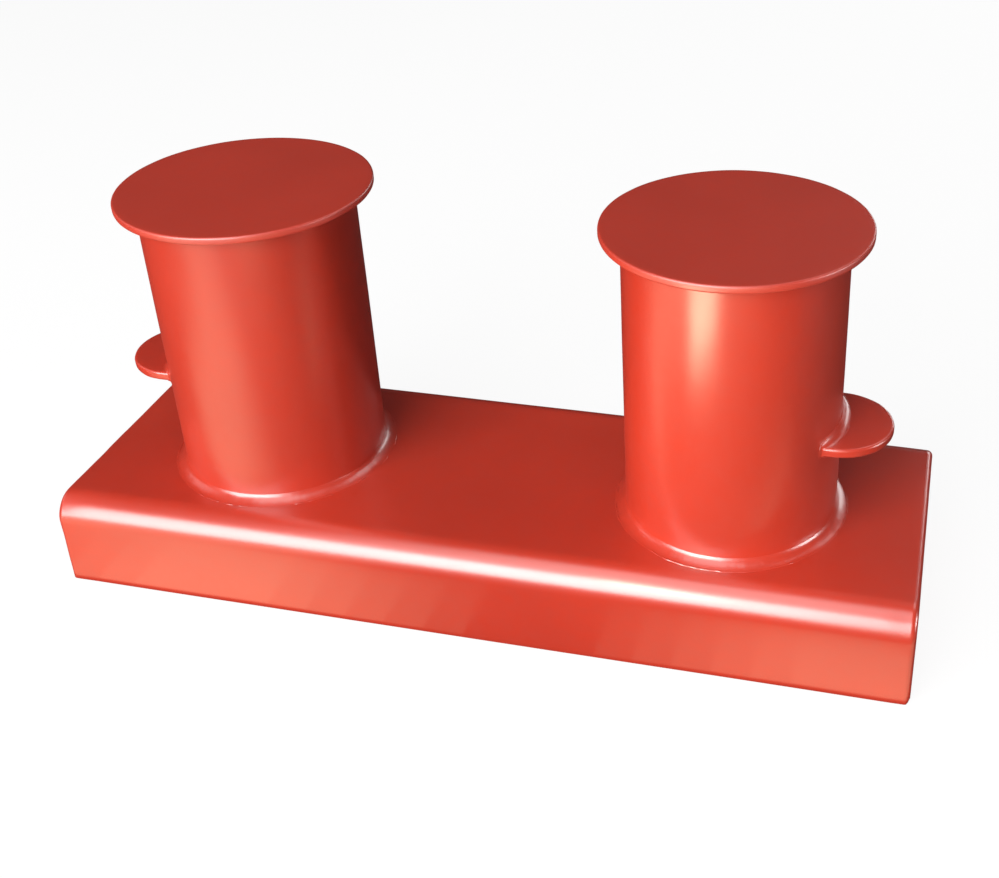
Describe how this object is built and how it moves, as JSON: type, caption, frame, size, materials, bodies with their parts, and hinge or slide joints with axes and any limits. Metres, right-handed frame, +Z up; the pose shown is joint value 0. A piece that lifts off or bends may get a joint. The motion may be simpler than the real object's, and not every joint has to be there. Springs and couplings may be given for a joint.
{
  "type": "double mooring bollard",
  "caption": "Welded steel double mooring bollard: capped pipe posts with side horns on a low bent-plate base, for making fast mooring ropes on a ship's deck.",
  "frame": {"origin": "centre of the base's footprint at deck level", "axes": "+X along the base from the left post to the right post, +Y across the base to its back, +Z up along the posts"},
  "size_m": [0.91, 0.308, 0.422],
  "materials": {
    "base_paint": "semi-gloss red oxide primer, sprayed, with fine orange peel",
    "post_paint": "semi-gloss red oxide primer on pipe",
    "cap_paint": "duller, drier red oxide primer on the flat cap plates",
    "horn_paint": "semi-gloss red oxide primer on flame-cut plate",
    "weld_paint": "semi-gloss red oxide primer over rippled weld beads",
    "inner_paint": "thin, matt red oxide primer inside the base"
  },
  "bodies": {
    "root": {"base_channel": "base_paint", "end_plate_left": "base_paint", "end_plate_right": "base_paint", "end_seam_left": "weld_paint", "end_seam_right": "weld_paint", "post_left": "post_paint", "post_right": "post_paint", "cap_left": "cap_paint", "cap_right": "cap_paint", "horn_left": "horn_paint", "horn_right": "horn_paint", "foot_weld_left": "weld_paint", "foot_weld_right": "weld_paint", "cap_weld_left": "weld_paint", "cap_weld_right": "weld_paint", "horn_weld_left": "weld_paint", "horn_weld_right": "weld_paint", "centre_web": "inner_paint", "gusset_inner_left": "inner_paint", "gusset_inner_right": "inner_paint", "gusset_outer_left": "inner_paint", "gusset_outer_right": "inner_paint", "under_weld_left": "inner_paint", "under_weld_right": "inner_paint", "centre_web_welds": "inner_paint", "gusset_welds_left": "inner_paint", "gusset_welds_right": "inner_paint"}
  },
  "joints": []
}
